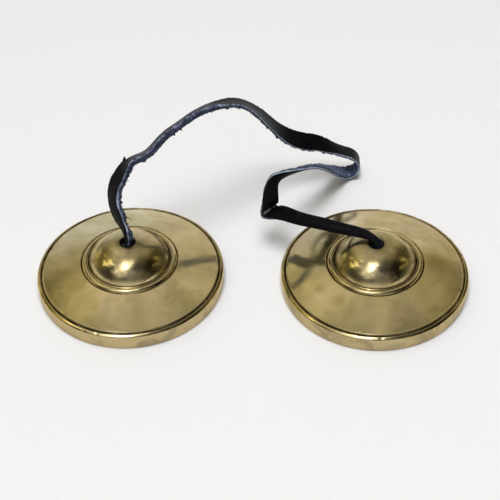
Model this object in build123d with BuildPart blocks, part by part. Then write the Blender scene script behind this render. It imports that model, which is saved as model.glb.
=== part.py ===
"""Tingsha: two thick brass cymbals on the ends of one leather strip, which is knotted inside each dome."""
import math
import os

from build123d import *

# Places: the cymbals stand side by side on the ground, at z = 0, along X
axis_offset = 43.0

# Cymbal, outside
cymbal_radius = 33.0
foot_draft = 0.3
foot_round = 0.5
wall_height = 4.3
shoulder_height = 5.95
rim_groove_inset = 1.6
rim_groove_width = 0.9
rim_groove_depth = 0.6
face_edge_height = 6.15
face_bulge = 0.1
ring_groove_radius = 16.85
ring_groove_width = 0.8
ring_groove_depth = 0.5
ring_height = 10.4
collar_height = 11.1
collar_bulge = 0.3
collar_inner_radius = 14.9
dome_radius = 14.2
dome_base_height = 10.95
dome_centre_height = 9.5
crown_height = 19.0
hole_radius = 2.65
hole_round = 0.5

# Cymbal, inside
rim_land = 6.7
plate_thickness = 3.6
dome_wall = 2.6
hollow_round = 1.5

# Leather strip
strip_thickness = 2.0
neck_width = 3.2
neck_standout = 0.2
left_neck_rise = 2.4
right_neck_rise = 2.6
right_neck_shift = 0.8
corner_share = 0.45
sharp_turn = 40.0

# Knot inside the dome
knot_clearance = 0.3
turn_radius = 3.6
turn_nesting = 0.15
turn_width = 4.8
turn_round = 0.5
turn_tilt = 26.0
tail_reach = 9.0
tail_slope = 14.0

# Sizes that follow from those
foot_radius = cymbal_radius - foot_draft
rim_groove_radius = cymbal_radius - rim_groove_inset
dome_rise = crown_height - dome_centre_height
dome_spread = dome_radius / math.sqrt(1 - ((dome_base_height - dome_centre_height) / dome_rise) ** 2)
dome_base_turn = math.degrees(math.acos(dome_radius / dome_spread))
hollow_radius = dome_radius - dome_wall
hollow_rise = crown_height - dome_base_height - dome_wall
crown_edge_radius = hole_radius + hole_round
crown_edge_height = dome_centre_height + dome_rise * math.sqrt(1 - (crown_edge_radius / dome_spread) ** 2)
crown_edge_turn = math.degrees(math.acos(crown_edge_radius / dome_spread))
hollow_top = dome_base_height + hollow_rise * math.sqrt(1 - (hole_radius / hollow_radius) ** 2)
neck_top = crown_height + neck_standout

# The strip's bending ends reach from each crown to these points. Over the left crown the strip's near edge
# lies this way.
left_bend_end = (-47.4, 8.1, 28.3)
right_bend_end = (33.1, 4.9, 21.3)
left_crown_way = (-0.352, -0.936, 0.00)

# Route of the strip's middle, from the left crown to the right one. Each row is a point, the way that the
# strip's near edge lies there, and its width, which is less where the strip tapers to enter a hole.
strip_route = [
    ((-axis_offset, 0.0, neck_top), left_crown_way, neck_width),
    ((-axis_offset, 0.0, neck_top + left_neck_rise), left_crown_way, 4.2),
    ((-45.0, 3.7, 25.1), (-0.18, -0.68, 0.71), 4.8),
    (left_bend_end, (0.29, -0.53, 0.80), 5.2),
    ((-47.7, 12.0, 31.6), (0.67, -0.56, 0.48), 6.0),
    ((-46.3, 14.8, 34.6), (0.66, -0.73, 0.20), 6.4),
    ((-43.7, 17.3, 37.8), (0.45, -0.86, 0.23), 6.2),
    ((-41.2, 18.9, 39.9), (0.10, -0.90, 0.43), 6.2),
    ((-37.5, 19.5, 41.0), (-0.03, -0.86, 0.51), 6.2),
    ((-34.6, 20.5, 42.9), (-0.16, -0.77, 0.61), 6.2),
    ((-32.3, 21.9, 45.4), (-0.22, -0.77, 0.60), 6.2),
    ((-29.3, 23.1, 48.1), (-0.23, -0.76, 0.60), 6.2),
    ((-25.9, 23.9, 50.4), (-0.05, -0.75, 0.65), 6.2),
    ((-19.3, 27.4, 53.9), (0.35, -0.69, 0.63), 6.2),
    ((-11.7, 33.5, 53.0), (0.65, -0.57, 0.51), 6.2),
    ((-4.4, 40.1, 49.1), (0.70, -0.72, 0.06), 6.2),
    ((2.9, 46.4, 38.4), (0.23, -0.93, -0.29), 6.2),
    ((9.1, 50.1, 27.6), (0.09, -0.95, -0.30), 6.2),
    ((16.0, 53.1, 21.1), (-0.08, -0.81, -0.58), 6.6),
    ((23.9, 55.1, 18.6), (-0.03, -0.87, -0.50), 6.4),
    ((31.7, 57.0, 13.4), (0.25, -0.97, 0.02), 6.2),
    ((38.0, 58.5, 10.0), (0.00, -1.00, 0.00), 6.2),
    ((39.8, 58.5, 4.0), (0.00, -1.00, 0.00), 6.2),
    ((35.0, 58.0, 1.0), (0.10, -0.99, -0.10), 6.2),
    ((29.5, 50.0, 9.0), (0.67, -0.69, -0.26), 6.2),
    ((21.5, 36.3, 23.3), (0.88, -0.39, 0.25), 6.0),
    ((13.1, 25.7, 28.7), (0.60, -0.31, 0.73), 5.8),
    ((7.4, 22.5, 29.0), (-0.45, -0.30, 0.84), 5.2),
    ((6.2, 21.5, 23.5), (-0.90, -0.41, 0.15), 5.4),
    ((6.3, 21.2, 19.0), (-0.95, -0.26, 0.15), 5.8),
    ((5.2, 20.8, 16.0), (-0.77, -0.60, -0.22), 7.0),
    ((6.0, 19.4, 15.3), (-0.77, -0.60, -0.22), 7.0),
    ((9.7, 17.5, 17.5), (-0.37, -0.78, -0.50), 5.4),
    ((16.5, 11.9, 19.3), (-0.35, -0.84, -0.42), 4.3),
    ((25.1, 7.2, 21.2), (-0.25, -0.86, -0.45), 3.7),
    (right_bend_end, (-0.20, -0.87, -0.46), 3.4),
    ((39.8, 2.3, 22.0), (-0.08, -0.97, -0.22), neck_width),
    ((axis_offset + right_neck_shift, 0.0, neck_top + right_neck_rise), (0.00, -1.00, 0.00), neck_width),
    ((axis_offset + right_neck_shift, 0.0, neck_top), (0.00, -1.00, 0.00), neck_width),
]

os.makedirs("parts", exist_ok=True)


def face_height(radius):
    """Height of the cone that the face lies on."""
    face_slope = (ring_height - face_edge_height) / (rim_groove_radius - ring_groove_radius)
    return face_edge_height + (rim_groove_radius - radius) * face_slope


def upright_plane(side):
    """Plane through a cymbal's axis, with its radius along local X and height along local Y."""
    return Plane(origin=(side * axis_offset, 0, 0), x_dir=(1, 0, 0), z_dir=(0, -1, 0))


def cymbal_axis(side):
    return Axis((side * axis_offset, 0, 0), (0, 0, 1))


# Cymbals: one turned profile each, revolved about the hole in the crown
for name, side in (("left_cymbal", -1), ("right_cymbal", 1)):
    rim_inner_radius = foot_radius - rim_land
    bowl_edge_radius = rim_inner_radius - hollow_round
    with BuildPart() as cymbal:
        with BuildSketch(upright_plane(side)) as profile:
            with BuildLine():
                land = Line((rim_inner_radius, 0), (foot_radius - foot_round, 0))
                foot = TangentArc(land @ 1, (foot_radius, foot_round), tangent=land % 1)
                wall = Line(foot @ 1, (cymbal_radius, wall_height))
                groove_outer = rim_groove_radius + rim_groove_width / 2
                shoulder = TangentArc(wall @ 1, (groove_outer, shoulder_height), tangent=wall % 1)
                rim_groove = Polyline(
                    shoulder @ 1,
                    (rim_groove_radius, shoulder_height - rim_groove_depth),
                    (rim_groove_radius - rim_groove_width / 2, face_edge_height),
                )
                ring_outer = ring_groove_radius + ring_groove_width / 2
                face = SagittaArc(rim_groove @ 1, (ring_outer, ring_height), -face_bulge)
                ring_groove = Polyline(
                    face @ 1,
                    (ring_groove_radius, ring_height - ring_groove_depth),
                    (ring_groove_radius - ring_groove_width / 2, ring_height + ring_groove_depth / 2),
                )
                collar = SagittaArc(ring_groove @ 1, (collar_inner_radius, collar_height), -collar_bulge)
                Line(collar @ 1, (dome_radius, dome_base_height))
                dome = EllipticalCenterArc(
                    (0, dome_centre_height),
                    dome_spread,
                    dome_rise,
                    start_angle=dome_base_turn,
                    arc_size=crown_edge_turn - dome_base_turn,
                )
                crown = TangentArc(dome @ 1, (hole_radius, crown_edge_height - hole_round), tangent=dome % 1)
                Line(crown @ 1, (hole_radius, hollow_top))
                hollow = EllipticalCenterArc(
                    (0, dome_base_height),
                    hollow_radius,
                    hollow_rise,
                    start_angle=0,
                    arc_size=math.degrees(math.acos(hole_radius / hollow_radius)),
                )
                Polyline(
                    hollow @ 0,
                    (hollow_radius, face_height(hollow_radius) - plate_thickness),
                    (bowl_edge_radius, face_height(bowl_edge_radius) - plate_thickness),
                    land @ 0,
                )
            make_face()
            bowl_corners = [
                (hollow_radius, face_height(hollow_radius) - plate_thickness),
                (bowl_edge_radius, face_height(bowl_edge_radius) - plate_thickness),
            ]
            for corner in bowl_corners:
                fillet(profile.vertices().sort_by_distance(corner)[0], radius=hollow_round)
        revolve(axis=cymbal_axis(side))
    cymbal.part.label = name
    export_step(cymbal.part, f"parts/{name}.step")

# Knots: the strip goes down through the hole, takes two crossing turns round itself and ends in a tail
knot_reach = turn_radius * math.sin(math.radians(turn_tilt)) + turn_width / 2
knot_middle = hollow_top - knot_clearance - knot_reach
for name, side, strip_end in (("left_knot", -1, strip_route[0]), ("right_knot", 1, strip_route[-1])):
    across = Vector(strip_end[1]).normalized()
    tail_way = Vector(0, 0, 1).cross(across)
    middle = Vector(side * axis_offset, 0, knot_middle)
    neck_foot = Vector(strip_end[0][0], strip_end[0][1], knot_middle)
    with BuildPart() as knot:
        neck_plane = Plane(origin=neck_foot, x_dir=across, z_dir=(0, 0, 1))
        with BuildSketch(neck_plane):
            Rectangle(neck_width, strip_thickness)
        extrude(amount=neck_top - knot_middle)
        for lean, radius in ((across, turn_radius), (tail_way, turn_radius - turn_nesting)):
            turn_axis = Vector(0, 0, 1).rotate(Axis((0, 0, 0), lean), turn_tilt)
            with BuildSketch(Plane(origin=middle, x_dir=lean, z_dir=lean.cross(turn_axis))):
                with Locations((radius, 0)):
                    RectangleRounded(strip_thickness, turn_width, turn_round)
            revolve(axis=Axis(middle, turn_axis))
        tail_drop = Vector(0, 0, -tail_reach * math.tan(math.radians(tail_slope)))
        tail = tail_way * tail_reach + tail_drop
        with BuildSketch(Plane(origin=middle, x_dir=across, z_dir=tail)):
            Rectangle(turn_width, strip_thickness)
        extrude(amount=tail.length)
    knot.part.label = name
    export_step(knot.part, f"parts/{name}.step")

# Strip: straight runs joined by arcs as large as the runs allow
points = [Vector(row[0]) for row in strip_route]
runs = [end - start for start, end in zip(points, points[1:])]
turns = [before.get_angle(after) for before, after in zip(runs, runs[1:])]
setbacks = [corner_share * min(before.length, after.length) for before, after in zip(runs, runs[1:])]
bend_radii = [setback / math.tan(math.radians(turn / 2)) for setback, turn in zip(setbacks, turns)]
with BuildLine() as strip_path:
    FilletPolyline(*points, radius=bend_radii)
path = strip_path.wire()
path_edges = path.order_edges()
print("strip length", round(path.length, 1), "mm, bend radii", [round(radius, 1) for radius in bend_radii])


def route_mix(place, column):
    """Value of a column of the route at a place between two of its points."""
    index = min(int(place), len(strip_route) - 2)
    share = place - index
    low, high = strip_route[index][column], strip_route[index + 1][column]
    if column == 2:
        return low + (high - low) * share
    return Vector(low) * (1 - share) + Vector(high) * share


def strip_section(edge, along, place):
    """Plane across the strip at a share of one edge of its path, and the strip's width there."""
    across = route_mix(place, 1).normalized()
    tangent = edge.tangent_at(along)
    square = tangent - across * across.dot(tangent)
    return Plane(origin=edge.position_at(along), x_dir=across, z_dir=square), route_mix(place, 2)


def bend_place(entry, corner, leave, along):
    """Place on the route at a share of a bend that runs from entry, past the corner point, to leave."""
    if along <= 0.5:
        return entry + (corner - entry) * 2 * along
    return corner + (leave - corner) * (2 * along - 1)


# Sections of the strip: its two ends, and 3 or 5 through each bend
sections = [(0, strip_section(path_edges[0], 0, 0))]
for corner in range(1, len(points) - 1):
    bend = path_edges[2 * corner - 1]
    entry = corner - setbacks[corner - 1] / runs[corner - 1].length
    leave = corner + setbacks[corner - 1] / runs[corner].length
    steps = 4 if turns[corner - 1] > sharp_turn else 2
    for step in range(steps + 1):
        along = step / steps
        place = bend_place(entry, corner, leave, along)
        sections.append((place, strip_section(bend, along, place)))
sections.append((len(points) - 1, strip_section(path_edges[-1], 1, len(points) - 1)))

left_end_point = points.index(Vector(left_bend_end))
right_end_point = points.index(Vector(right_bend_end))
stretches = (
    ("left_strap_end", 0, left_end_point),
    ("strap_span", left_end_point, right_end_point),
    ("right_strap_end", right_end_point, len(points) - 1),
)
for name, first, last in stretches:
    own_sections = [section for place, section in sections if first <= place <= last]
    with BuildPart() as stretch:
        for plane, width in own_sections:
            with BuildSketch(plane):
                Rectangle(width, strip_thickness)
        loft(ruled=True)
    mean_width = sum(width for plane, width in own_sections) / len(own_sections)
    centres = [plane.origin for plane, width in own_sections]
    length = sum((end - start).length for start, end in zip(centres, centres[1:]))
    expected = mean_width * strip_thickness * length
    print(name, "volume", round(stretch.part.volume), "section x length", round(expected))
    stretch.part.label = name
    export_step(stretch.part, f"parts/{name}.step")
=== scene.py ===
"""Tingsha cymbals: two cast brass cymbals lying on a pale floor, joined by one stiff leather strip."""
import math
import random
from collections import namedtuple

import bpy
import numpy as np
from mathutils import Matrix, Vector, noise


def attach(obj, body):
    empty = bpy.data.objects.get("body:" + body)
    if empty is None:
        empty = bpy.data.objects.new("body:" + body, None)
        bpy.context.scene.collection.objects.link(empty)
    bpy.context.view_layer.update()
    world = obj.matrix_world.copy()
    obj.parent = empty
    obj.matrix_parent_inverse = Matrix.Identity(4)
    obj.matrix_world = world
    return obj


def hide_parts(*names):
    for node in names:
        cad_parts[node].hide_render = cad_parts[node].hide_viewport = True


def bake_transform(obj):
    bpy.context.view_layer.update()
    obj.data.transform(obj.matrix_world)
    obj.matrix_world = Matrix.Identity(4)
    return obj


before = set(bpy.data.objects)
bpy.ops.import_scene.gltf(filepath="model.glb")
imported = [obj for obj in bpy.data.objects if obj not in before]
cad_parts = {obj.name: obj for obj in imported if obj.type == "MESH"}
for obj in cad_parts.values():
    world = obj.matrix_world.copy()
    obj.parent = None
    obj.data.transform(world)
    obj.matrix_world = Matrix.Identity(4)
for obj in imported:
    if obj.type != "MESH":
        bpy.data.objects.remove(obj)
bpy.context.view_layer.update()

collection = bpy.context.scene.collection

MM = 0.001

# Sizes that the source gives, in millimetres, and in degrees for the knots' slopes
AXIS_OFFSET = 43.0
CYMBAL_RADIUS = 33.0
FOOT_RADIUS = 32.7
FOOT_ROUND = 0.5
WALL_HEIGHT = 4.3
SHOULDER_HEIGHT = 5.95
RIM_GROOVE_RADIUS = 31.4
RIM_GROOVE_WIDTH = 0.9
RIM_GROOVE_DEPTH = 0.6
FACE_EDGE_HEIGHT = 6.15
FACE_BULGE = 0.1
RING_GROOVE_RADIUS = 16.85
RING_GROOVE_WIDTH = 0.8
RING_GROOVE_DEPTH = 0.5
RING_HEIGHT = 10.4
COLLAR_HEIGHT = 11.1
DOME_RADIUS = 14.2
DOME_BASE_HEIGHT = 10.95
DOME_CENTRE_HEIGHT = 9.5
CROWN_HEIGHT = 19.0
HOLE_RADIUS = 2.65
HOLE_ROUND = 0.5
RIM_LAND = 6.7
PLATE_THICKNESS = 3.6
DOME_WALL = 2.6
HOLLOW_ROUND = 1.5
TURN_TILT = 26.0
TAIL_REACH = 9.0
TAIL_SLOPE = 14.0

# Sizes of the dressed part alone, in millimetres: soft corners, a fine line cut in the collar, a bead inside
# it, and slightly slimmer knots
SHOULDER_CORNER_HEIGHT = 5.35
SHOULDER_ROUND = 1.2
GROOVE_LIP = 0.05
GROOVE_LIP_ROUND = 0.22
GROOVE_ROUND = 0.12
FACE_LIP = 0.06
FACE_LIP_ROUND = 0.55
COLLAR_BULGE = 0.2
COLLAR_ROUND = 0.2
COLLAR_INNER_RADIUS = 15.12
COLLAR_LINE_WIDTH = 0.24
COLLAR_LINE_DEPTH = 0.17
COLLAR_LINE_ROUND = 0.10
BEAD_RADIUS = 14.7
BEAD_HEIGHT = 0.09
BEAD_ROUND = 0.12
BEAD_INNER_RADIUS = 14.5
BEAD_INNER_ROUND = 0.08
FOOT_LINE_RADIUS = 14.38
FOOT_LINE_ROUND = 0.06
DOME_FOOT_RISE = 0.35
HOLE_LIP = 0.05
HOLLOW_EDGE_ROUND = 0.25
BOWL_ROUND = 1.3
KNOT_MIDDLE = 12.0
TURN_RADIUS = 3.55
TURN_WIDTH = 4.6

# Steps along the curves of the turned profile
ROUND_STEPS = 6
FACE_STEPS = 44
COLLAR_STEPS = 8
DOME_STEPS = 56
HOLLOW_STEPS = 24
BOWL_STEPS = 16

# Route of the strip's middle from the left crown to the right one: point in metres, the way of the strip's
# near edge, and its width in metres
STRIP_ROUTE = [
    ((-0.0424, 0.0000, 0.0192), (-0.34, -0.94, 0.00), 0.0035),
    ((-0.0422, 0.0001, 0.0212), (-0.10, -0.90, 0.42), 0.0058),
    ((-0.0451, 0.0038, 0.0250), (0.45, -0.41, 0.79), 0.0054),
    ((-0.0474, 0.0081, 0.0283), (0.54, -0.42, 0.73), 0.0055),
    ((-0.0477, 0.0120, 0.0316), (0.67, -0.56, 0.48), 0.0060),
    ((-0.0463, 0.0148, 0.0346), (0.66, -0.73, 0.20), 0.0064),
    ((-0.0437, 0.0173, 0.0378), (0.45, -0.86, 0.23), 0.0062),
    ((-0.0412, 0.0189, 0.0399), (0.07, -0.88, 0.47), 0.0062),
    ((-0.0375, 0.0195, 0.0410), (0.01, -0.89, 0.45), 0.0062),
    ((-0.0346, 0.0205, 0.0429), (0.07, -0.91, 0.41), 0.0062),
    ((-0.0323, 0.0219, 0.0454), (0.05, -0.91, 0.40), 0.0062),
    ((-0.0293, 0.0231, 0.0481), (-0.02, -0.92, 0.39), 0.0062),
    ((-0.0259, 0.0239, 0.0504), (0.07, -0.85, 0.52), 0.0062),
    ((-0.0193, 0.0274, 0.0539), (0.35, -0.69, 0.63), 0.0062),
    ((-0.0117, 0.0335, 0.0530), (0.67, -0.65, 0.36), 0.0062),
    ((-0.0044, 0.0401, 0.0491), (0.63, -0.77, -0.05), 0.0062),
    ((0.0029, 0.0464, 0.0384), (0.23, -0.93, -0.29), 0.0062),
    ((0.0091, 0.0501, 0.0276), (0.09, -0.95, -0.30), 0.0062),
    ((0.0160, 0.0531, 0.0211), (-0.08, -0.81, -0.58), 0.0066),
    ((0.0239, 0.0551, 0.0186), (-0.03, -0.87, -0.50), 0.0064),
    ((0.0317, 0.0570, 0.0134), (0.25, -0.97, 0.02), 0.0062),
    ((0.0380, 0.0585, 0.0100), (0.00, -1.00, 0.00), 0.0062),
    ((0.0398, 0.0585, 0.0040), (0.00, -1.00, 0.00), 0.0062),
    ((0.0350, 0.0580, 0.0010), (0.10, -0.99, -0.10), 0.0062),
    ((0.0295, 0.0500, 0.0090), (0.67, -0.69, -0.26), 0.0062),
    ((0.0215, 0.0363, 0.0233), (0.88, -0.39, 0.25), 0.0060),
    ((0.0131, 0.0257, 0.0287), (0.60, -0.31, 0.73), 0.0058),
    ((0.0074, 0.0225, 0.0290), (-0.52, -0.18, 0.83), 0.0052),
    ((0.0062, 0.0215, 0.0235), (-0.98, -0.18, 0.13), 0.0054),
    ((0.0063, 0.0212, 0.0190), (-0.99, -0.05, 0.14), 0.0058),
    ((0.0052, 0.0208, 0.0160), (-0.77, -0.60, -0.22), 0.0070),
    ((0.0060, 0.0194, 0.0153), (-0.77, -0.60, -0.22), 0.0070),
    ((0.0097, 0.0175, 0.0175), (-0.37, -0.78, -0.50), 0.0054),
    ((0.0165, 0.0119, 0.0193), (-0.35, -0.84, -0.42), 0.0043),
    ((0.0251, 0.0072, 0.0212), (-0.25, -0.86, -0.45), 0.0037),
    ((0.0323, 0.0054, 0.0205), (-0.20, -0.87, -0.46), 0.0034),
    ((0.0398, 0.0031, 0.0206), (-0.08, -0.97, -0.22), 0.0032),
    ((0.0433, 0.0001, 0.0202), (0.00, -1.00, 0.00), 0.0032),
    ((0.0441, -0.0002, 0.0192), (0.00, -1.00, 0.00), 0.0032),
]
LEFT_END_POINT = 3
RIGHT_END_POINT = 35
CREASE_POINT = 30.4

# How the strip's section changes along the route: pairs of a route point, counted from 0, and a value.
# A curl is half the angle of the arc that the width is rolled into, in degrees. Thickness is in millimetres.
# Ragged is how torn the edges are, with 1 for the usual wear.
CURL = ((0, 70), (1, 62), (2, 24), (3, 6), (4.5, 0), (24, 0), (26, 14), (28, 8), (29.5, 0),
        (31, 0), (32, 22), (33, 38), (35, 50), (38, 58))
THICKNESS = ((0, 1.2), (1, 1.8), (2, 2.3), (4, 2.3), (7, 2.4), (13, 2.4), (14.5, 1.7), (16, 1.3), (26, 1.3),
             (27.5, 1.1), (29, 1.0), (32, 1.2), (34, 1.6), (36.5, 1.3), (38, 1.2))
RAGGED = ((0, 0.3), (1, 0.9), (2, 1.3), (5, 1.2), (14, 1.5), (18, 1.1), (24, 0.8), (27, 0.4), (33, 0.4),
          (38, 0.2))
# Painted shade on the raw flesh and edges, from dark at 0 to pale at 1
PAINTED_SHADE = ((0, 0.75), (4, 0.6), (6, 0.45), (13, 0.42), (15, 0.7), (18, 0.9), (21, 1.0), (26, 1.0), (31, 0.7),
         (34, 0.4), (36, 0.1), (38, 0.0))
# Larger torn tags on the edges: route point, side, level from grain 0.5 to flesh -0.5, length, width and lean
# along the strip. Those on the far side, -1, are of black grain.
TAGS = (
    (6.30, -1, 0.3, 2.1, 0.80, 1.1),
    (6.05, -1, 0.3, 1.5, 0.70, 0.8),
    (16.3, 1, -0.4, 1.2, 0.30, -0.4),
    (2.1, 1, -0.4, 2.2, 0.28, -0.7),
    (5.2, 1, -0.5, 0.9, 0.20, 0.6),
)

# Order of the leather's materials in a strip's mesh
GRAIN, FLESH, EDGE = range(3)


# Shader graphs
class Graph:
    """A node tree being filled in. A value given to one of its nodes is a number, a colour or a socket."""

    def __init__(self, tree):
        self.nodes = tree.nodes
        self.links = tree.links

    def put(self, socket, value):
        if isinstance(value, bpy.types.NodeSocket):
            self.links.new(value, socket)
        elif socket.type == "RGBA":
            socket.default_value = (*value, 1.0)
        else:
            socket.default_value = value

    def node(self, kind, **settings):
        node = self.nodes.new(kind)
        for key, value in settings.items():
            setattr(node, key, value)
        return node

    def math(self, operation, *values, clamp=False):
        node = self.node("ShaderNodeMath", operation=operation, use_clamp=clamp)
        for socket, value in zip(node.inputs, values):
            self.put(socket, value)
        return node.outputs[0]

    def mix(self, factor, first, second):
        node = self.node("ShaderNodeMix", data_type="RGBA")
        for index, value in ((0, factor), (6, first), (7, second)):
            self.put(node.inputs[index], value)
        return node.outputs[2]

    def noise(self, place, scale, detail=3.0, roughness=0.5, distortion=0.0):
        node = self.node("ShaderNodeTexNoise")
        values = {"Scale": scale, "Detail": detail, "Roughness": roughness, "Distortion": distortion}
        for key, value in values.items():
            node.inputs[key].default_value = value
        self.links.new(place, node.inputs["Vector"])
        return node.outputs["Fac"]

    def ramp(self, value, low, high, out_low=0.0, out_high=1.0):
        node = self.node("ShaderNodeMapRange", interpolation_type="SMOOTHSTEP")
        values = {"From Min": low, "From Max": high, "To Min": out_low, "To Max": out_high, "Value": value}
        for key, number in values.items():
            self.put(node.inputs[key], number)
        return node.outputs["Result"]

    def attribute(self, name):
        return self.node("ShaderNodeAttribute", attribute_name=name).outputs["Fac"]

    def place(self):
        return self.node("ShaderNodeTexCoord").outputs["Object"]

    def distance(self, place, centre):
        node = self.node("ShaderNodeVectorMath", operation="DISTANCE")
        self.links.new(place, node.inputs[0])
        node.inputs[1].default_value = centre
        return node.outputs["Value"]

    def bump(self, height, distance, strength, below=None):
        node = self.node("ShaderNodeBump")
        node.inputs["Strength"].default_value = strength
        node.inputs["Distance"].default_value = distance
        self.links.new(height, node.inputs["Height"])
        if below is not None:
            self.links.new(below, node.inputs["Normal"])
        return node.outputs["Normal"]


def new_material(name):
    material = bpy.data.materials.new(name)
    material.use_nodes = True
    return material, Graph(material.node_tree), material.node_tree.nodes["Principled BSDF"]


# Materials
def brass_material(name, blotches):
    """Hand-finished brass: tan gold with an olive-brown patina, black in the grooves, fine turned lines, and
    painted shade on the dome and the back of the rim.
    """
    material, graph, shader = new_material(name)
    place = graph.place()
    broad = graph.noise(place, 48.0, 3.0, 0.55, 0.6)
    middle = graph.noise(place, 170.0, 5.0, 0.62, 0.4)
    fine = graph.noise(place, 1500.0, 3.0, 0.6)
    inside = graph.attribute("inside")
    wall = graph.attribute("wall")
    patina = graph.math("MULTIPLY", graph.ramp(broad, 0.42, 0.68), 0.32)
    patina = graph.math("MULTIPLY_ADD", graph.ramp(middle, 0.48, 0.74), 0.30, patina)
    for centre, radius, weight in blotches:
        edge = graph.math("MULTIPLY_ADD", middle, 0.6 * radius, graph.distance(place, centre))
        near = graph.ramp(edge, radius * 1.35, radius * 0.45, 0.0, weight)
        patina = graph.math("ADD", patina, near)
    patina = graph.math("MINIMUM", patina, 1.0)
    gold = graph.mix(graph.ramp(middle, 0.3, 0.7), (0.86, 0.70, 0.38), (0.82, 0.64, 0.32))
    tint = graph.noise(place, 75.0, 2.0, 0.5, 0.5)
    gold = graph.mix(graph.ramp(tint, 0.44, 0.62, 0.0, 0.45), gold, (0.72, 0.60, 0.25))
    colour = graph.mix(patina, gold, (0.50, 0.385, 0.145))
    smear = graph.noise(place, 95.0, 4.0, 0.6, 1.0)
    dull = graph.mix(graph.ramp(smear, 0.42, 0.66), (0.47, 0.37, 0.20), (0.24, 0.195, 0.12))
    colour = graph.mix(graph.math("MULTIPLY", wall, 0.8), colour, dull)
    under = graph.mix(graph.ramp(middle, 0.35, 0.7), (0.58, 0.43, 0.20), (0.30, 0.21, 0.09))
    colour = graph.mix(inside, colour, under)
    skirt = graph.math("MULTIPLY", graph.attribute("skirt"), graph.ramp(tint, 0.36, 0.60, 0.35, 1.0))
    colour = graph.mix(graph.math("MULTIPLY", skirt, 0.6), colour, (0.46, 0.38, 0.16))
    # Painted shade at the dome's foot and back, a painted shadow and reflection of the strip round the hole,
    # and a darker crown
    foot = graph.math("MULTIPLY", graph.attribute("foot"), graph.ramp(middle, 0.36, 0.60, 0.55, 1.0))
    colour = graph.mix(foot, colour, (0.10, 0.077, 0.032))
    # Black dirt in the grooves, and painted shade on the back of the rim's shoulder
    grime_and_rim_shade = graph.math("MULTIPLY", graph.attribute("groove_dirt_and_rim_shade"), graph.ramp(middle, 0.34, 0.56, 0.45, 1.0))
    graph.put(shader.inputs["Base Color"], graph.mix(grime_and_rim_shade, colour, (0.022, 0.017, 0.009)))
    graph.put(shader.inputs["Metallic"], graph.math("MULTIPLY_ADD", graph.attribute("haze"), -0.05, 1.0))
    shader.inputs["Specular Tint"].default_value = (0.90, 0.83, 0.70, 1.0)
    rough = graph.math("MULTIPLY_ADD", patina, 0.07, graph.ramp(middle, 0.3, 0.75, 0.10, 0.18))
    rough = graph.math("MULTIPLY_ADD", grime_and_rim_shade, 0.4, rough)
    rough = graph.math("MULTIPLY_ADD", wall, 0.12, rough)
    rough = graph.math("MULTIPLY_ADD", foot, 0.30, rough)
    graph.put(shader.inputs["Roughness"], graph.math("MULTIPLY_ADD", inside, 0.28, rough, clamp=True))
    turned = graph.node("ShaderNodeCombineXYZ")
    graph.put(turned.inputs[0], graph.attribute("turn_radius"))
    graph.put(turned.inputs[1], graph.attribute("turn_angle"))
    lines = graph.noise(turned.outputs[0], 1.0, 2.0, 0.6)
    normal = graph.bump(lines, 0.00004, 0.10)
    graph.put(shader.inputs["Normal"], graph.bump(fine, 0.00003, 0.12, normal))
    return material


def grain_material():
    """Smooth black grain side, with a fine pebble and grey wear where it is creased."""
    material, graph, shader = new_material("leather_grain")
    place = graph.place()
    cells = graph.node("ShaderNodeTexVoronoi", feature="F1")
    cells.inputs["Scale"].default_value = 2600.0
    graph.put(cells.inputs["Vector"], place)
    soft = graph.noise(place, 380.0, 4.0, 0.6)
    broad = graph.noise(place, 90.0, 2.0, 0.5)
    black = graph.mix(graph.ramp(soft, 0.35, 0.75), (0.0022, 0.0022, 0.0030), (0.0055, 0.0055, 0.0070))
    scuff = graph.math("MULTIPLY", graph.attribute("worn"), graph.ramp(soft, 0.38, 0.62))
    graph.put(shader.inputs["Base Color"], graph.mix(scuff, black, (0.20, 0.20, 0.215)))
    graph.put(shader.inputs["Roughness"], graph.ramp(broad, 0.3, 0.7, 0.40, 0.56))
    shader.inputs["Specular IOR Level"].default_value = 0.10
    normal = graph.bump(cells.outputs["Distance"], 0.00005, 0.22)
    graph.put(shader.inputs["Normal"], graph.bump(soft, 0.00012, 0.25, normal))
    return material


def flesh_material():
    """Rough navy flesh side: short matted nap, blue-grey on its high tufts, darkened by painted shade along
    the strip.
    """
    material, graph, shader = new_material("leather_flesh")
    place = graph.place()
    tufts = graph.noise(place, 1300.0, 5.0, 0.7, 0.8)
    broad = graph.noise(place, 260.0, 3.0, 0.6)
    level = graph.math("MULTIPLY", graph.attribute("nap"), 0.4)
    level = graph.math("MULTIPLY_ADD", graph.ramp(tufts, 0.42, 0.66), 0.75, level)
    level = graph.math("MULTIPLY", level, graph.ramp(broad, 0.3, 0.7, 0.55, 1.15))
    # Painted shade along the strip darkens the flesh
    shade = graph.ramp(graph.attribute("shade"), 0.0, 1.0, 0.10, 1.15)
    level = graph.math("MULTIPLY", level, shade, clamp=True)
    graph.put(shader.inputs["Base Color"], graph.mix(level, (0.015, 0.019, 0.034), (0.195, 0.25, 0.39)))
    shader.inputs["Roughness"].default_value = 0.95
    shader.inputs["Specular IOR Level"].default_value = 0.15
    shader.inputs["Sheen Weight"].default_value = 0.08
    shader.inputs["Sheen Roughness"].default_value = 0.5
    shader.inputs["Sheen Tint"].default_value = (0.55, 0.66, 0.9, 1.0)
    graph.put(shader.inputs["Normal"], graph.bump(tufts, 0.0003, 0.6))
    return material


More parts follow.
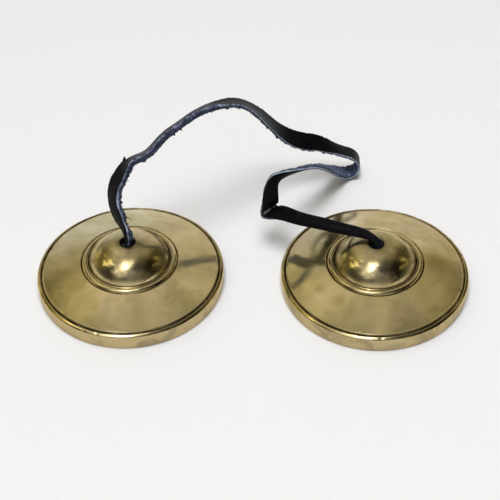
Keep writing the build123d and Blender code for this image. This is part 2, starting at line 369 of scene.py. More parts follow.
def edge_material():
    """Raw cut edge and loose fibres: a pale layer under the grain, and dark matted fibres below it, with
    painted shade along the strip.
    """
    material, graph, shader = new_material("leather_edge")
    place = graph.place()
    strands = graph.noise(place, 1500.0, 5.0, 0.72, 1.2)
    broad = graph.noise(place, 330.0, 3.0, 0.6)
    depth = graph.math("MULTIPLY_ADD", broad, 0.8, graph.attribute("rim"))
    # Painted shade along the strip darkens the edge and narrows its pale layer
    shade = graph.attribute("shade")
    depth = graph.math("MULTIPLY_ADD", shade, -0.35, depth)
    pale = graph.ramp(depth, 0.78, 0.40)
    level = graph.math("MULTIPLY", pale, graph.ramp(strands, 0.38, 0.58, 0.18, 1.0))
    speck = graph.math("MULTIPLY", graph.ramp(strands, 0.52, 0.68), 0.55)
    level = graph.math("MAXIMUM", level, speck)
    matted = graph.noise(place, 640.0, 3.0, 0.6, 0.6)
    clumps = graph.ramp(matted, 0.40, 0.60, graph.ramp(shade, 0.45, 0.90, 0.30, 0.95), 1.35)
    level = graph.math("MULTIPLY", level, clumps)
    level = graph.math("MULTIPLY", level, graph.ramp(shade, 0.0, 1.0, 0.22, 1.20), clamp=True)
    graph.put(shader.inputs["Base Color"], graph.mix(level, (0.026, 0.032, 0.058), (0.41, 0.48, 0.62)))
    shader.inputs["Roughness"].default_value = 0.9
    shader.inputs["Specular IOR Level"].default_value = 0.2
    graph.put(shader.inputs["Normal"], graph.bump(strands, 0.0003, 0.7))
    return material


# Cymbals
def rounded(corners):
    """Points of a profile whose corners, given as (radius, height, rounding), are rounded off."""
    points = []
    for index, (x, z, size) in enumerate(corners):
        here = Vector((x, z))
        if size == 0 or index in (0, len(corners) - 1):
            points.append(here)
            continue
        before = Vector(corners[index - 1][:2])
        after = Vector(corners[index + 1][:2])
        start = here + (before - here).normalized() * min(size, (before - here).length * 0.45)
        end = here + (after - here).normalized() * min(size, (after - here).length * 0.45)
        for step in range(ROUND_STEPS + 1):
            t = step / ROUND_STEPS
            points.append(start * (1 - t) ** 2 + here * 2 * t * (1 - t) + end * t ** 2)
    return points


def bowed(start, end, rise, count):
    """Points of a shallow arc between two points, end points left out."""
    start, end = Vector(start), Vector(end)
    side = Vector((end.y - start.y, start.x - end.x)).normalized()
    points = []
    for step in range(1, count):
        t = step / count
        points.append(start.lerp(end, t) + side * rise * 4 * t * (1 - t))
    return points


def face_height(radius):
    slope = (RING_HEIGHT - FACE_EDGE_HEIGHT) / (RIM_GROOVE_RADIUS - RING_GROOVE_RADIUS)
    return FACE_EDGE_HEIGHT + (RIM_GROOVE_RADIUS - radius) * slope


def cymbal_profile():
    """Closed profile of a cymbal, (radius, height) in millimetres, out along its foot and back underneath."""
    rim_inner = FOOT_RADIUS - RIM_LAND
    bowl_edge = rim_inner - HOLLOW_ROUND
    groove_half = RIM_GROOVE_WIDTH / 2
    ring_half = RING_GROOVE_WIDTH / 2
    dome_rise = CROWN_HEIGHT - DOME_CENTRE_HEIGHT
    dome_spread = DOME_RADIUS / math.sqrt(1 - ((DOME_BASE_HEIGHT - DOME_CENTRE_HEIGHT) / dome_rise) ** 2)
    hollow_radius = DOME_RADIUS - DOME_WALL
    hollow_rise = CROWN_HEIGHT - DOME_BASE_HEIGHT - DOME_WALL
    crown_edge = HOLE_RADIUS + HOLE_ROUND
    draft = CYMBAL_RADIUS - FOOT_RADIUS
    corners = [(rim_inner + 0.5, 0.0, 0)]
    corners += [(rim_inner + RIM_LAND * t, 0.0, 0) for t in (0.3, 0.5, 0.7, 0.85)]
    corners += [(FOOT_RADIUS, 0.0, FOOT_ROUND)]
    corners += [(FOOT_RADIUS + draft * t, WALL_HEIGHT * t, 0) for t in (0.25, 0.4, 0.55, 0.7, 0.82)]
    corners += [(CYMBAL_RADIUS, SHOULDER_CORNER_HEIGHT, SHOULDER_ROUND)]
    corners += [(RIM_GROOVE_RADIUS + groove_half, SHOULDER_HEIGHT + GROOVE_LIP, GROOVE_LIP_ROUND)]
    corners += [(RIM_GROOVE_RADIUS, SHOULDER_HEIGHT - RIM_GROOVE_DEPTH, GROOVE_ROUND)]
    corners += [(RIM_GROOVE_RADIUS - groove_half, FACE_EDGE_HEIGHT + FACE_LIP, FACE_LIP_ROUND)]
    face_start = (RIM_GROOVE_RADIUS - groove_half, FACE_EDGE_HEIGHT)
    face_end = (RING_GROOVE_RADIUS + ring_half, RING_HEIGHT)
    corners += [(p.x, p.y, 0) for p in bowed(face_start, face_end, FACE_BULGE, FACE_STEPS)]
    corners += [(*face_end, COLLAR_ROUND)]
    corners += [(RING_GROOVE_RADIUS, RING_HEIGHT - RING_GROOVE_DEPTH, GROOVE_ROUND)]
    collar_start = (RING_GROOVE_RADIUS - ring_half, RING_HEIGHT + RING_GROOVE_DEPTH / 2)
    collar_end = (COLLAR_INNER_RADIUS, COLLAR_HEIGHT)
    corners += [(*collar_start, COLLAR_ROUND)]
    corners += [(p.x, p.y, 0) for p in bowed(collar_start, collar_end, COLLAR_BULGE, COLLAR_STEPS)]
    line_floor = COLLAR_HEIGHT - COLLAR_LINE_DEPTH
    corners += [(*collar_end, COLLAR_LINE_ROUND)]
    corners += [(COLLAR_INNER_RADIUS - COLLAR_LINE_WIDTH / 2, line_floor, COLLAR_LINE_ROUND / 2)]
    corners += [(COLLAR_INNER_RADIUS - COLLAR_LINE_WIDTH, COLLAR_HEIGHT, COLLAR_LINE_ROUND)]
    corners += [(BEAD_RADIUS, COLLAR_HEIGHT + BEAD_HEIGHT, BEAD_ROUND)]
    corners += [(BEAD_INNER_RADIUS, COLLAR_HEIGHT + 0.02, BEAD_INNER_ROUND)]
    corners += [(FOOT_LINE_RADIUS, line_floor, FOOT_LINE_ROUND)]
    dome_start = DOME_BASE_HEIGHT + DOME_FOOT_RISE
    start_turn = math.degrees(math.asin((dome_start - DOME_CENTRE_HEIGHT) / dome_rise))
    end_turn = math.degrees(math.acos(crown_edge / dome_spread))
    for step in range(DOME_STEPS + 1):
        turn = math.radians(start_turn + (end_turn - start_turn) * step / DOME_STEPS)
        corners += [(dome_spread * math.cos(turn), DOME_CENTRE_HEIGHT + dome_rise * math.sin(turn), 0)]
    corners += [(HOLE_RADIUS, corners[-1][1] + HOLE_LIP, HOLE_ROUND)]
    hollow_turn = math.degrees(math.acos(HOLE_RADIUS / hollow_radius))
    hollow_top = DOME_BASE_HEIGHT + hollow_rise * math.sin(math.radians(hollow_turn))
    corners += [(HOLE_RADIUS, hollow_top, HOLLOW_EDGE_ROUND)]
    for step in range(1, HOLLOW_STEPS + 1):
        turn = math.radians(hollow_turn * (1 - step / HOLLOW_STEPS))
        corners += [(hollow_radius * math.cos(turn), DOME_BASE_HEIGHT + hollow_rise * math.sin(turn), 0)]
    corners += [(hollow_radius, face_height(hollow_radius) - PLATE_THICKNESS, BOWL_ROUND)]
    for step in range(1, BOWL_STEPS):
        radius = hollow_radius + (bowl_edge - hollow_radius) * step / BOWL_STEPS
        corners += [(radius, face_height(radius) - PLATE_THICKNESS, 0)]
    corners += [(bowl_edge, face_height(bowl_edge) - PLATE_THICKNESS, BOWL_ROUND)]
    corners += [(rim_inner, 0.0, HOLLOW_EDGE_ROUND)]
    return rounded(corners + corners[:1])[:-1]


# Radius of each groove, and half the width of its dirt
GROOVES = (
    (RIM_GROOVE_RADIUS, 0.40),
    (RING_GROOVE_RADIUS, 0.27),
    (COLLAR_INNER_RADIUS - COLLAR_LINE_WIDTH / 2, 0.13),
    (BEAD_RADIUS - 0.33, 0.15),
)


def groove_dirt(radius):
    """How much of a groove's black dirt lies at a radius of the top side, from 0 to 1."""
    level = 0.0
    for middle, half in GROOVES:
        level = max(level, 1 - (abs(radius - middle) / half) ** 3)
    return level


# Where a cymbal's zones lie, and how far their dirt, patina and painted shade reach, in millimetres
GROOVE_DIRT_HEIGHT = 4.6
FACE_FOOT_HEIGHT = 5.0
DOME_FOOT_HEIGHT = 10.5
CROWN_ZONE_HEIGHT = 17.5
SHOULDER_ZONE_RADIUS = 31.8
SHOULDER_ZONE_HEIGHT = 4.4
WALL_ZONE_RADIUS = 32.3
WALL_ZONE_HEIGHTS = (0.2, 5.2)
FOOT_SHADE_START = 11.0
FOOT_SHADE_FADE = 1.7
BACK_SHADE_REACH = 2.8
HOLE_SHADOW_REACH = 2.2
CROWN_DARK_REACH = 9.0
SKIRT_START = 25.5
SKIRT_FADE = 5.5

# Mesh of a cymbal: steps round it, points on its flat rim, its waves, and the nicks in its edge
CYMBAL_STEPS = 480
LAND_POINTS = 5
FLAT_HEIGHT = 0.3
BROAD_WAVE = 0.085
FINE_WAVE = 0.022
DENT_COUNT = 26
DENT_RADII = (32.75, 32.2, 31.2)
DENT_LOWEST = 3.5


def painted_dome_shade(radius, c, s):
    """How much a dome is darkened at a radius and a direction: painted shade at its foot, reaching higher at
    its back, a painted shadow and reflection of the strip round its hole, and a darker crown towards the
    hole.
    """
    # Painted shade round the foot, reaching higher and darker at the back
    foot_start = FOOT_SHADE_START - BACK_SHADE_REACH * max(0.0, s)
    foot_level = 0.95 + 0.05 * s if s > 0 else 0.95 + 0.65 * s
    foot = foot_level * min(1.0, max(0.0, (radius - foot_start) / FOOT_SHADE_FADE))
    # Painted shadow and reflection of the strip round the hole, reaching further to the left
    from_hole = max(0.0, radius - HOLE_RADIUS)
    hole_shadow = 0.9 * (1 - from_hole / (HOLE_SHADOW_REACH - 1.0 * c))
    crown = 0.48 * (1 - from_hole / CROWN_DARK_REACH)
    return max(foot, hole_shadow, crown)


def front_face_olive(radius, s):
    """How much the front half of the face is darkened towards olive at a radius, from 0 to 1."""
    return min(1.0, max(0.0, (radius - SKIRT_START) / SKIRT_FADE)) * math.sqrt(max(0.0, -s))


def make_cymbal(name, side, material, seed):
    """A cymbal as a finely turned ring of faces, with the slight waves and nicks of hand finishing."""
    chance = random.Random(seed)
    around = CYMBAL_STEPS
    profile = cymbal_profile()
    count = len(profile)
    normals = []
    for index in range(count):
        along = profile[(index + 1) % count] - profile[index - 1]
        normals.append(Vector((along.y, -along.x)).normalized())
    crown_first = [(point.y > CROWN_ZONE_HEIGHT, -point.x, point.y) for point in profile]
    hole_index = crown_first.index(max(crown_first))
    dents = []
    for _ in range(DENT_COUNT):
        angle, radius = chance.uniform(0, math.tau), chance.choice(DENT_RADII)
        dents.append((angle, radius, chance.uniform(0.5, 1.1), chance.uniform(0.05, 0.16)))
    vertices = []
    names = ("groove_dirt_and_rim_shade", "foot", "skirt", "haze", "inside", "wall", "turn_radius", "turn_angle")
    values = {key: [] for key in names}
    wall_low, wall_high = WALL_ZONE_HEIGHTS
    for index, (point, normal) in enumerate(zip(profile, normals)):
        top_side = index <= hole_index
        dirt = groove_dirt(point.x) if top_side and point.y > GROOVE_DIRT_HEIGHT else 0.0
        on_dome = top_side and point.y > DOME_FOOT_HEIGHT and point.x < BEAD_RADIUS
        on_face = top_side and point.x < RIM_GROOVE_RADIUS and point.y > FACE_FOOT_HEIGHT
        on_shoulder = top_side and point.x > SHOULDER_ZONE_RADIUS and point.y > SHOULDER_ZONE_HEIGHT
        is_wall = top_side and point.x > WALL_ZONE_RADIUS and wall_low < point.y < wall_high
        is_inside = 0.0 if top_side else 1.0
        if index < LAND_POINTS:
            is_inside = 0.6
        for step in range(around):
            angle = math.tau * step / around
            c, s = math.cos(angle), math.sin(angle)
            place = Vector((point.x * c, point.x * s, point.y))
            wave = BROAD_WAVE * noise.noise(place * 0.10 + Vector((seed, 0, 0)))
            wave += FINE_WAVE * noise.noise(place * 0.30 + Vector((0, seed, 0)))
            if point.y < FLAT_HEIGHT:
                wave = 0.0
            for dent_angle, dent_radius, size, deep in dents:
                if abs(point.x - dent_radius) > size or not top_side or point.y < DENT_LOWEST:
                    continue
                off = math.remainder(angle - dent_angle, math.tau) * point.x
                reach = math.hypot(off, point.x - dent_radius) / size
                if reach < 1:
                    wave -= deep * (1 - reach * reach) ** 2
            r = point.x + normal.x * wave
            z = point.y + normal.y * wave
            vertices.append(((side * AXIS_OFFSET + r * c) * MM, r * s * MM, max(0.0, z) * MM))
            # Painted shade on the back of the rim's shoulder, kept with the grooves' dirt
            back_rim_shade = 0.8 * max(0.0, s) ** 0.7 if on_shoulder else 0.0
            values["groove_dirt_and_rim_shade"].append(max(dirt, back_rim_shade))
            # Painted shade on the dome
            values["foot"].append(painted_dome_shade(point.x, c, s) if on_dome else 0.0)
            values["skirt"].append(front_face_olive(point.x, s) if on_face else 0.0)
            values["haze"].append(float(on_face and point.x > RING_GROOVE_RADIUS))
            values["inside"].append(is_inside)
            values["wall"].append(float(is_wall))
            # The turned lines change fast across their run and slowly along it
            values["turn_radius"].append(9.0 * (point.x + 0.7 * point.y))
            values["turn_angle"].append(0.5 * (c + 2 * s))
    faces = []
    for index in range(count):
        here, there = index * around, (index + 1) % count * around
        for step in range(around):
            after = (step + 1) % around
            faces.append((here + step, here + after, there + after, there + step))
    return add_mesh(name, vertices, faces, [material], values)


def add_mesh(name, vertices, faces, materials, values, slots=None):
    """A smooth mesh object with its materials and the values that they read at its points."""
    mesh = bpy.data.meshes.new(name)
    mesh.from_pydata(vertices, [], faces)
    for material in materials:
        mesh.materials.append(material)
    if slots is not None:
        mesh.polygons.foreach_set("material_index", slots)
    mesh.polygons.foreach_set("use_smooth", [True] * len(faces))
    for key, data in values.items():
        layer = mesh.attributes.new(key, "FLOAT", "POINT")
        layer.data.foreach_set("value", data)
    mesh.update()
    mesh.validate()
    made = bpy.data.objects.new(name, mesh)
    collection.objects.link(made)
    return made


# Patches of darker patina: centre and radius in metres, and strength
LEFT_BLOTCHES = (
    ((-0.0580, -0.0215, 0.0080), 0.0080, 0.50),
    ((-0.0640, 0.0060, 0.0080), 0.0040, 0.30),
    ((-0.0260, -0.0160, 0.0080), 0.0070, 0.20),
)
RIGHT_BLOTCHES = (
    ((0.0640, 0.0010, 0.0080), 0.0080, 0.60),
    ((0.0610, -0.0120, 0.0080), 0.0080, 0.25),
    ((0.0302, -0.0178, 0.0080), 0.0035, 0.50),
    ((0.0237, -0.0117, 0.0080), 0.0030, 0.50),
    ((0.0335, -0.0225, 0.0080), 0.0045, 0.35),
)
left_cymbal = make_cymbal("left_cymbal_brass", -1, brass_material("brass_left", LEFT_BLOTCHES), 11)
right_cymbal = make_cymbal("right_cymbal_brass", 1, brass_material("brass_right", RIGHT_BLOTCHES), 23)


# Leather strip
def spline_points(rows):
    """Points along a NURBS spline that has the rows as its control points."""
    curve = bpy.data.curves.new("guide", "CURVE")
    curve.dimensions = "3D"
    curve.resolution_u = 40
    spline = curve.splines.new("NURBS")
    spline.points.add(len(rows) - 1)
    for point, row in zip(spline.points, rows):
        point.co = (*row, 1.0)
    spline.order_u = 3
    spline.use_endpoint_u = True
    guide = bpy.data.objects.new("guide", curve)
    collection.objects.link(guide)
    mesh = bpy.data.meshes.new_from_object(guide.evaluated_get(bpy.context.evaluated_depsgraph_get()))
    points = [vertex.co.copy() for vertex in mesh.vertices]
    bpy.data.objects.remove(guide)
    bpy.data.curves.remove(curve)
    bpy.data.meshes.remove(mesh)
    return points


# One place along a strip. Lengths are in millimetres and curl is in radians. Worn, wrinkle and painted shade
# go from 0 to 1, and ragged is 1 for the usual wear.
Row = namedtuple("Row", "centre across normal half thickness curl along worn wrinkle ragged shade")


class Strip:
    """A leather strip's mesh: rings of points across it, grain side up, with raw edges and loose fibres."""

    half_shares = (0.0, 0.16, 0.32, 0.48, 0.62, 0.75, 0.86, 0.94, 1.0)
    flat_share = 0.97
    border_share = 0.80
    edge_steps = 8

    def __init__(self, seed):
        self.seed = seed
        self.chance = random.Random(seed)
        self.vertices = []
        self.faces = []
        self.slots = []
        self.values = {"worn": [], "nap": [], "rim": [], "shade": []}

    def section(self):
        """Ring of (share across, share of thickness, side): grain, near edge, flesh, far edge."""
        shares = [-share for share in reversed(self.half_shares[1:])] + list(self.half_shares)
        ring = [(share, 0.5, "grain") for share in shares]
        ring += [(1.0, 0.5 - step / self.edge_steps, "edge") for step in range(1, self.edge_steps)]
        ring += [(-share, -0.5, "flesh") for share in shares]
        ring += [(-1.0, -0.5 + step / self.edge_steps, "edge") for step in range(1, self.edge_steps)]
        return ring

    def tear(self, along, sign):
        """How far an edge is torn out or in at a place along the strip."""
        rip = 0.46 * noise.noise(Vector((along * 0.50, sign * 5 + self.seed, 0.3)))
        rip += 0.44 * noise.noise(Vector((along * 1.15, sign * 9 + self.seed, 0.7)))
        return rip + 0.26 * noise.noise(Vector((along * 2.70, sign * 2 + self.seed, 0.1)))

    def skin(self, row, share, level, kind):
        """Height and sideways shift of a point: smooth on the grain, matted on the flesh, torn at edges."""
        place = Vector((row.along, share * row.half, level * 4 + self.seed))
        sign = 1 if share > 0 else -1
        border = max(0.0, (abs(share) - self.border_share) / (1 - self.border_share))
        lift = level * row.thickness
        if kind == "grain":
            lift += 0.03 * noise.noise(place * 0.55)
            lift += row.wrinkle * row.worn * 0.10 * math.cos(row.along * 4.2)
            lift -= 0.10 * border ** 3
        if kind == "flesh":
            lift += row.ragged * (0.13 * noise.noise(place * 1.9) + 0.08 * noise.noise(place * 4.3))
            lift += row.wrinkle * 0.20 * math.cos(row.along * 5.6 + 2.0 * noise.noise(place * 0.5))
            lift += border ** 2 * row.ragged * (0.12 + 1.0 * self.tear(row.along * 1.2 + 40, sign))
        depth = 0.5 - level
        fray = border * row.ragged * (0.34 + 0.66 * depth)
        side = sign * fray * (self.tear(row.along, sign) + 0.16 * noise.noise(place * 3.1))
        return lift, side

    @staticmethod
    def spot(row, share, lift, side=0.0):
        """Point at a share of the half width and a height over the middle layer, moved sideways."""
        if row.curl < 0.02:
            return row.centre + row.across * (share * row.half + side) + row.normal * lift
        radius = row.half / math.sin(row.curl)
        turn = row.curl * share
        over = (radius + lift) * math.sin(turn) + side * math.cos(turn)
        out = (radius + lift) * math.cos(turn) - side * math.sin(turn) - row.half / row.curl
        return row.centre + row.across * over + row.normal * out

    def slot_between(self, first, second):
        """Material of a face between two neighbours of the ring."""
        kinds = {first[2], second[2]}
        if kinds == {"grain"}:
            return GRAIN
        flat = max(abs(first[0]), abs(second[0])) < self.flat_share
        return FLESH if kinds == {"flesh"} and flat else EDGE

    def add_point(self, point, worn, nap, rim, shade):
        self.vertices.append(point)
        self.values["worn"].append(worn)
        self.values["nap"].append(nap)
        self.values["rim"].append(rim)
        self.values["shade"].append(shade)

    def sweep(self, rows):
        """Adds a closed length of strip."""
        ring = self.section()
        size = len(ring)
        first = len(self.vertices)
        for row in rows:
            for share, level, kind in ring:
                lift, side = self.skin(row, share, level, kind)
                nap = 0.5 + 0.9 * noise.noise(Vector((row.along, share * row.half, self.seed)) * 2.6)
                nap = min(1.0, max(0.0, nap))
                self.add_point(self.spot(row, share, lift, side), row.worn, nap, 0.5 - level, row.shade)
        for index in range(len(rows) - 1):
            here = first + index * size
            there = here + size
            for step in range(size):
                after = (step + 1) % size
                self.faces.append((here + step, there + step, there + after, here + after))
                self.slots.append(self.slot_between(ring[step], ring[after]))
        last = first + (len(rows) - 1) * size
        self.faces.append(tuple(range(first, first + size)))
        self.faces.append(tuple(reversed(range(last, last + size))))
        self.slots.extend((EDGE, EDGE))

    def fibre(self, root, way, length, width, shade, slot=EDGE):
        """Adds one loose fibre: a thin closed spike with a bend in it."""
        first = len(self.vertices)
        way = way.normalized()
        side = way.orthogonal().normalized()
        other = way.cross(side)
        droop = Vector([self.chance.uniform(-0.5, 0.5) for _ in range(3)]) * length
        nap, rim = self.chance.uniform(0.4, 1.0), self.chance.uniform(0.25, 1.0)
        for share, size in ((0.0, 1.0), (0.5, 0.75)):
            middle = root + way * length * share + droop * share * share
            for corner in range(3):
                turn = math.tau * corner / 3
                rim_way = side * math.cos(turn) + other * math.sin(turn)
                self.add_point(middle + rim_way * width * size, 0.0, nap, rim, shade)
        self.add_point(root + way * length + droop, 0.0, nap, rim, shade)
        self.faces.append((first + 2, first + 1, first))
        for corner in range(3):
            after = (corner + 1) % 3
            self.faces.append((first + corner, first + after, first + 3 + after, first + 3 + corner))
            self.faces.append((first + 3 + corner, first + 3 + after, first + 6))
        self.slots.extend([slot] * (len(self.faces) - len(self.slots)))

    def edge_fibre(self, row, after, sign, level, along, length, width, slot=EDGE):
        """A fibre that leaves one edge at a level of its thickness, leaning along the strip."""
        turn = row.curl * sign
        out = row.across * sign * math.cos(turn) - row.normal * math.sin(abs(turn))
        up = row.normal * math.cos(turn) + row.across * math.sin(turn)
        root = self.spot(row, sign, level * row.thickness) - out * 0.2
        way = out + up * (level - 0.1) + (after.centre - row.centre).normalized() * along
        self.fibre(root, way, length, width, row.shade, slot)

    def fray(self, rows, per_mm, reach):
        """Loose fibres along both edges, most of them on the flesh side."""
        for row, after in zip(rows, rows[1:]):
            wanted = per_mm * row.ragged * (after.centre - row.centre).length
            count = int(wanted) + (self.chance.random() < wanted - int(wanted))
            for _ in range(count):
                sign = self.chance.choice((-1, 1))
                level = self.chance.triangular(-0.55, 0.4, -0.5)
                along = self.chance.uniform(-1.2, 1.2)
                length = reach * self.chance.triangular(0.3, 1.6, 0.5)
                self.edge_fibre(row, after, sign, level, along, length, self.chance.uniform(0.035, 0.085))

    def object(self, name, materials):
        points = [vertex * MM for vertex in self.vertices]
        return add_mesh(name, points, self.faces, materials, self.values, self.slots)


leather = [grain_material(), flesh_material(), edge_material()]
route = spline_points([row[0] for row in STRIP_ROUTE])
reach = spline_points([Vector(row[1]).normalized() * row[2] / 2 for row in STRIP_ROUTE])
last_point = len(STRIP_ROUTE) - 1
last_index = len(route) - 1


def route_index(point):
    """Index of the spline's point that lies nearest to a control point of the route."""
    share = min(max(point - 0.5, 0), last_point - 1) / (last_point - 1)
    return round(share * last_index)


def along_route(table, index):
    """Value of a table of route points at one of the spline's points."""
    place = 0.5 + index / last_index * (last_point - 1)
    return float(np.interp(place, [row[0] for row in table], [row[1] for row in table]))


# How many of the spline's points a bend is measured over, and how many the worn crease reaches over
BEND_REACH = 12
CREASE_REACH = 26
strip_rows = []
along = 0.0
for index, point in enumerate(route):
    before = route[max(0, index - 1)]
    after = route[min(last_index, index + 1)]
    along += (point - before).length / MM
    across = reach[index].normalized()
    normal = across.cross(after - before).normalized()
    wrinkle = 0.0
    if BEND_REACH <= index <= last_index - BEND_REACH:
        into, out = point - route[index - BEND_REACH], route[index + BEND_REACH] - point
        bend = into.angle(out) / max(0.3, (into.length + out.length) / MM / 2)
        wrinkle = min(1.0, max(0.0, bend - 0.08) * 4)
    crease = abs(index - route_index(CREASE_POINT)) / CREASE_REACH
    strip_rows.append(Row(
        centre=point / MM,
        across=across,
        normal=normal,
        half=reach[index].length / MM,
        thickness=along_route(THICKNESS, index),
        curl=math.radians(along_route(CURL, index)),
        along=along,
        worn=max(0.0, 1 - crease) ** 1.5,
        wrinkle=wrinkle,
        ragged=along_route(RAGGED, index),
        shade=along_route(PAINTED_SHADE, index),
    ))

left_cut = route_index(LEFT_END_POINT)
right_cut = route_index(RIGHT_END_POINT)
stretches = (
    ("left_end_leather", 0, left_cut),
    ("span_leather", left_cut, right_cut),
    ("right_end_leather", right_cut, last_index),
)
strips = {}
for name, first, last in stretches:
    strip = Strip(seed=3)
    own = strip_rows[first:last + 1]
    strip.sweep(own)
    strip.fray(own, per_mm=8.0, reach=0.5)
    for point, sign, level, length, width, lean in TAGS:
        index = route_index(point)
        if first <= index < last:
            row, after = strip_rows[index:index + 2]
            slot = GRAIN if sign < 0 else EDGE
            strip.edge_fibre(row, after, sign, level, lean, length, width, slot)
    strips[name] = strip.object(name, leather)


# Knots inside the domes: steps along the neck, each turn and the tail
NECK_STEPS = 34
NECK_STEP = 0.24
TURN_STEPS = 120
TAIL_STEPS = 60
TAIL_FIBRES = 26


def make_knot(name, side, row, seed):
    """The strip's end below its hole: the neck, two crossing turns round it, and a cut tail, with painted
    shade darkest on the neck in the hole.
    """
    strip = Strip(seed)
    up = Vector((0, 0, 1))
    across = Vector((row.across.x, row.across.y, 0)).normalized()
    normal = Vector((row.normal.x, row.normal.y, 0)).normalized()
    tail_way = up.cross(across)
    middle = Vector((side * AXIS_OFFSET, 0, KNOT_MIDDLE))
    neck = []
    for step in range(NECK_STEPS):
        drop = step * NECK_STEP
        spot = row.centre + Vector((0, 0, -drop))
        lower = row._replace(centre=spot, across=across, normal=normal)
        # The neck in the hole is painted fully dark as shade
        neck.append(lower._replace(along=row.along + drop, shade=0.0))
    strip.sweep(neck)
    for lean, start in ((across, 0.4), (tail_way, 2.2)):
        axis = Matrix.Rotation(math.radians(TURN_TILT), 3, lean) @ up
        other = axis.cross(lean)
        rows = []
        for step in range(TURN_STEPS + 1):
            share = step / TURN_STEPS
            turn = start + math.tau * 1.06 * share
            way = lean * math.cos(turn) + other * math.sin(turn)
            spot = middle + way * (TURN_RADIUS - 0.12 + 0.28 * share) + axis * (0.25 - 0.5 * share)
            rows.append(Row(
                centre=spot,
                across=axis,
                normal=way,
                half=TURN_WIDTH / 2,
                thickness=1.5,
                curl=0.32,
                along=step * 0.2,
                worn=0.25,
                wrinkle=0.35,
                ragged=1.0,
                shade=0.3,
            ))
        strip.sweep(rows)
        strip.fray(rows, per_mm=5.0, reach=0.45)
    rows = []
    for step in range(TAIL_STEPS + 1):
        share = step / TAIL_STEPS
        drop = math.tan(math.radians(TAIL_SLOPE)) * TAIL_REACH * share ** 1.4
        spot = middle + tail_way * TAIL_REACH * share - up * drop
        twist = Matrix.Rotation(0.25 * share, 3, tail_way)
        rows.append(Row(
            centre=spot,
            across=twist @ across,
            normal=twist @ up,
            half=2.4,
            thickness=1.6,
            curl=0.3 * share,
            along=step * 0.15,
            worn=0.1,
            wrinkle=0.1,
            ragged=1.0,
            shade=0.7,
        ))
    strip.sweep(rows)
    strip.fray(rows, per_mm=6.0, reach=0.5)
    end = rows[-1]
    for _ in range(TAIL_FIBRES):
        root = end.centre + end.across * strip.chance.uniform(-2.2, 2.2) - tail_way * 0.15
        root += end.normal * strip.chance.uniform(-0.7, 0.6)
        way = tail_way + Vector([strip.chance.uniform(-0.6, 0.6) for _ in range(3)])
        strip.fibre(root, way, strip.chance.uniform(0.2, 0.7), 0.06, end.shade)
    return strip.object(name, leather)


left_knot = make_knot("left_knot_leather", -1, strip_rows[0], 5)
right_knot = make_knot("right_knot_leather", 1, strip_rows[-1], 8)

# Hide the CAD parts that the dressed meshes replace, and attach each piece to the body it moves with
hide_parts("left_cymbal")
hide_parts("right_cymbal")
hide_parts("left_knot")
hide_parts("right_knot")
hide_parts("left_strap_end")
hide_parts("strap_span")
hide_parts("right_strap_end")
for piece in (left_knot, right_knot, *strips.values()):
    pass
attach(left_cymbal, "left_cymbal")
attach(right_cymbal, "right_cymbal")
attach(left_knot, "left_knot")
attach(right_knot, "right_knot")
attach(strips["span_leather"], "strap")
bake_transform(strips["left_end_leather"])
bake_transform(strips["right_end_leather"])

# Floor
floor_material, graph, shader = new_material("pale_floor")
paper = graph.noise(graph.place(), 900.0, 3.0, 0.6)
graph.put(shader.inputs["Base Color"], graph.mix(paper, (0.91, 0.91, 0.925), (0.94, 0.94, 0.955)))
shader.inputs["Roughness"].default_value = 0.8
shader.inputs["Specular IOR Level"].default_value = 0.2
floor_corners = [(-4, -4, 0), (4, -4, 0), (4, 4, 0), (-4, 4, 0)]
floor = add_mesh("floor", floor_corners, [(0, 1, 2, 3)], [floor_material], {})
floor.location.z = -0.0001

# World: soft, patchy grey room, brightest and coolest low at the back, dark to the sides, with soft lamps of
# uneven outline overhead. A lamp is a direction, the angles in degrees where its glow ends and where it is
# full, and a strength.
SOFT_LIGHTS = (
    ((-0.09, -0.21, 0.97), 14, 3, 3.3),
    ((-0.33, 0.40, 0.86), 18, 4, 0.22),
    ((-0.17, -0.33, 0.93), 13, 3, 2.0),
    ((-0.29, -0.50, 0.81), 28, 3, 0.9),
    ((0.00, 0.55, 0.83), 17, 6, -0.14),
    ((-0.69, 0.00, 0.72), 4, 1, 1.6),
    ((0.91, 0.16, 0.37), 4, 1, 0.4),
    ((0.42, -0.78, 0.46), 32, 4, 0.25),
    ((0.90, 0.42, 0.08), 16, 6, 0.04),
    ((-0.88, 0.45, 0.12), 22, 8, 0.35),
)
world = bpy.data.worlds.new("studio")
bpy.context.scene.world = world
world.use_nodes = True
graph = Graph(world.node_tree)
background = world.node_tree.nodes["Background"]
direction = graph.node("ShaderNodeSeparateXYZ")
sky = graph.node("ShaderNodeTexCoord").outputs["Generated"]
graph.put(direction.inputs[0], sky)
right, back, up = direction.outputs

# How bright the room is in each direction
left_level = graph.ramp(right, -0.66, -0.44, 0.17, 0.62)
right_level = graph.ramp(right, 0.40, 0.66, 0.62, 0.08)
level = graph.math("MINIMUM", left_level, right_level)
level = graph.math("MULTIPLY", level, graph.ramp(up, 0.15, 0.5, 1.3, 0.73))
level = graph.math("MULTIPLY", level, graph.ramp(back, -0.5, 0.2, 0.28, 1.0))
dim = graph.math("MULTIPLY", graph.ramp(right, 0.06, 0.34), graph.ramp(back, 0.36, 0.02))
level = graph.math("MULTIPLY", level, graph.math("MULTIPLY_ADD", dim, -0.75, 1.0))
low_right = graph.math("MULTIPLY", graph.ramp(up, 0.34, 0.24), graph.ramp(right, -0.08, 0.08))
level = graph.math("MULTIPLY", level, graph.math("MULTIPLY_ADD", low_right, -0.25, 1.0))
low_front = graph.math("MULTIPLY", graph.ramp(back, -0.70, -0.90), graph.ramp(up, 0.32, 0.10))
level = graph.math("MULTIPLY_ADD", low_front, 0.45, level)
room = graph.noise(sky, 5.0, 3.0, 0.55, 0.6)
level = graph.math("MULTIPLY", level, graph.ramp(room, 0.42, 0.58, 0.84, 1.09))

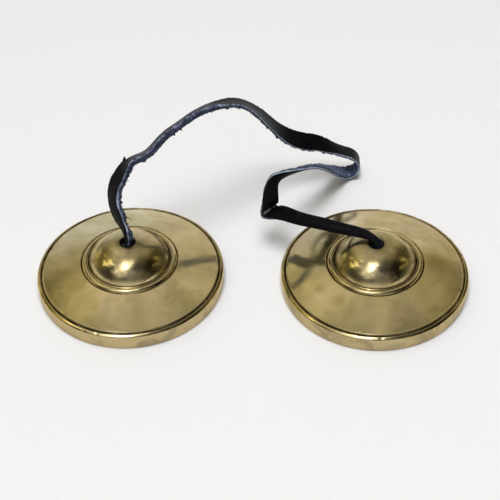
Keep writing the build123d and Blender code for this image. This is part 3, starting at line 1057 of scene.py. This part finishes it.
# Lamps, with a direction that sways so that their outlines are uneven, and streaks across them
stretch = graph.node("ShaderNodeVectorMath", operation="MULTIPLY")
graph.put(stretch.inputs[0], sky)
stretch.inputs[1].default_value = (1.0, 0.35, 0.35)
side_sway = graph.noise(sky, 7.0, 2.0, 0.5)
long_sway = graph.noise(stretch.outputs[0], 13.0, 2.0, 0.5)
sway = graph.node("ShaderNodeCombineXYZ")
graph.put(sway.inputs[0], graph.math("MULTIPLY_ADD", side_sway, 0.50, -0.25))
graph.put(sway.inputs[1], graph.math("MULTIPLY_ADD", long_sway, 0.50, -0.25))
swayed = graph.node("ShaderNodeVectorMath", operation="ADD")
graph.put(swayed.inputs[0], sky)
graph.put(swayed.inputs[1], sway.outputs[0])
streak = graph.ramp(graph.noise(stretch.outputs[0], 17.0, 2.0, 0.5), 0.36, 0.60, 0.45, 1.15)
for way, wide, narrow, strength in SOFT_LIGHTS:
    near = graph.node("ShaderNodeVectorMath", operation="DOT_PRODUCT")
    graph.put(near.inputs[0], swayed.outputs[0])
    near.inputs[1].default_value = Vector(way).normalized()
    glow = graph.ramp(near.outputs["Value"], math.cos(math.radians(wide)), math.cos(math.radians(narrow)))
    level = graph.math("MULTIPLY_ADD", graph.math("MULTIPLY", glow, streak), strength, level)
graph.put(background.inputs["Strength"], level)

# Tint: cool at the back and in front, warm to the sides, patchy between them
cool = graph.math("MULTIPLY", graph.ramp(back, 0.4, 0.95), graph.ramp(up, 0.65, 0.15))
cool = graph.math("MULTIPLY", cool, graph.ramp(right, -0.12, 0.10, 1.0, 0.35))
front = graph.ramp(back, 0.0, -0.2)
cool = graph.math("MAXIMUM", cool, graph.math("MULTIPLY", front, 0.4))
warm = graph.ramp(graph.math("ABSOLUTE", right), 0.2, 0.8)
patches = graph.ramp(graph.noise(sky, 8.0, 3.0, 0.55), 0.42, 0.60)
plain = graph.mix(patches, (1.0, 0.995, 0.985), (1.0, 0.96, 0.87))
tint = graph.mix(warm, plain, (1.0, 0.91, 0.42))
graph.put(background.inputs["Color"], graph.mix(cool, tint, (0.84, 0.96, 1.30)))


# Lights
def area_light(name, place, target, size, power, colour):
    """A rectangular lamp that gives light and shadow and isn't mirrored in the brass."""
    light = bpy.data.lights.new(name, "AREA")
    light.shape = "RECTANGLE"
    light.size, light.size_y = size
    light.energy = power
    light.color = colour
    lamp = bpy.data.objects.new(name, light)
    lamp.location = place
    lamp.rotation_euler = (Vector(target) - Vector(place)).to_track_quat("-Z", "Y").to_euler()
    lamp.visible_glossy = False
    collection.objects.link(lamp)


area_light("key", (0.0, -0.20, 1.08), (0.0, 0.0, 0.0), (0.45, 0.60), 7.0, (1.0, 0.985, 0.96))
bpy.context.scene.view_settings.view_transform = "Standard"

# Camera, as fitted to the photograph
camera_data = bpy.data.cameras.new("camera")
camera_data.sensor_width = 36.0
camera_data.lens = 93.35
camera_data.clip_start = 0.01
camera = bpy.data.objects.new("camera", camera_data)
camera_right = Vector((0.9994, 0.0288, -0.0177)).normalized()
camera_forward = Vector((-0.0330, 0.7227, -0.6904)).normalized()
camera_up = camera_right.cross(camera_forward).normalized()
camera_matrix = Matrix((camera_right, camera_up, -camera_forward)).transposed().to_4x4()
camera_matrix.translation = Vector((0.0143, -0.3254, 0.3262))
camera.matrix_world = camera_matrix
collection.objects.link(camera)
bpy.context.scene.camera = camera
